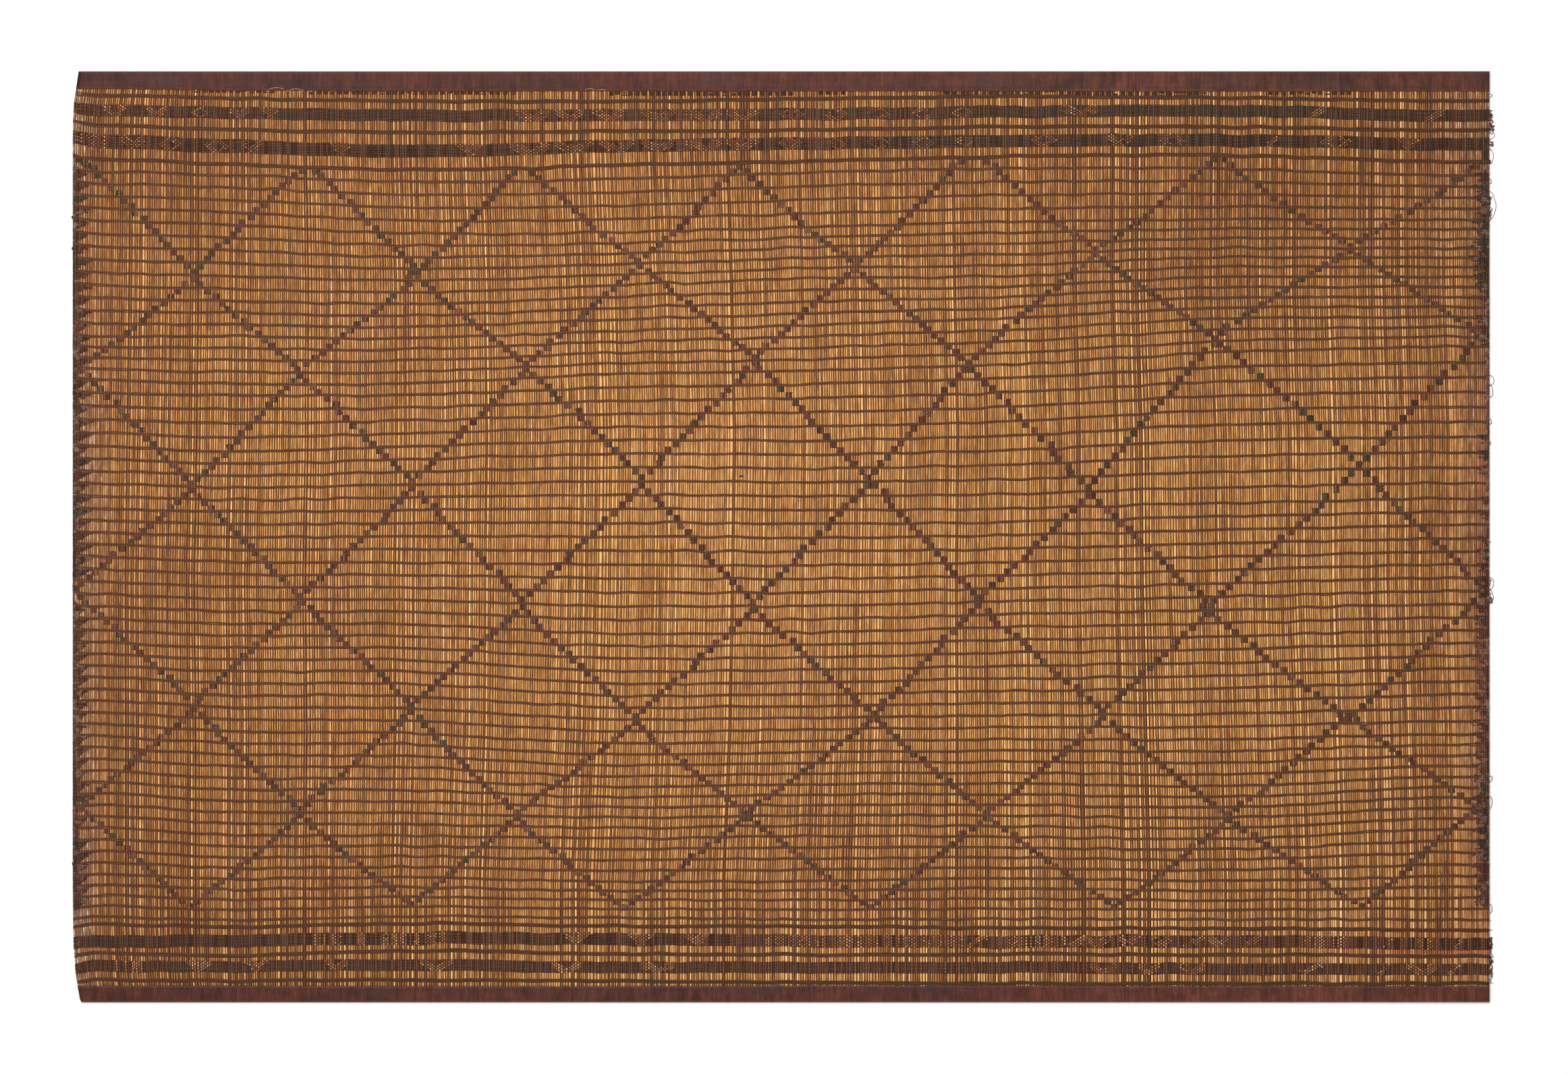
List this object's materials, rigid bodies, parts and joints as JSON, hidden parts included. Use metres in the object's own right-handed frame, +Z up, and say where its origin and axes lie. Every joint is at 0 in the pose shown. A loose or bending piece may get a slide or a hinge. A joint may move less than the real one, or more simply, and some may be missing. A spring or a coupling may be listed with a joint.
{
  "type": "reed and leather floor mat",
  "caption": "Flat rectangular floor mat of slender reeds tied side by side with dark leather thong rows, a leather diamond lattice, woven bands and stitched leather end bindings",
  "frame": {"origin": "centre of the footprint, on the surface the mat lies on", "axes": "+X along the long side across the reeds, +Y along the reeds, +Z up out of the decorated face"},
  "size_m": [2.744, 1.793, 0.0056],
  "materials": {
    "reed": "dry split straw-coloured reed, slightly glossy, aged unevenly",
    "thong_leather": "narrow dark brown and blackish leather thongs, matt",
    "binding_leather": "smooth red-brown leather with creases and soft sheen"
  },
  "bodies": {
    "root": {"mat": "reed", "binding_upper": "binding_leather", "binding_lower": "binding_leather", "edge_left": "thong_leather", "edge_right": "thong_leather"}
  },
  "joints": []
}
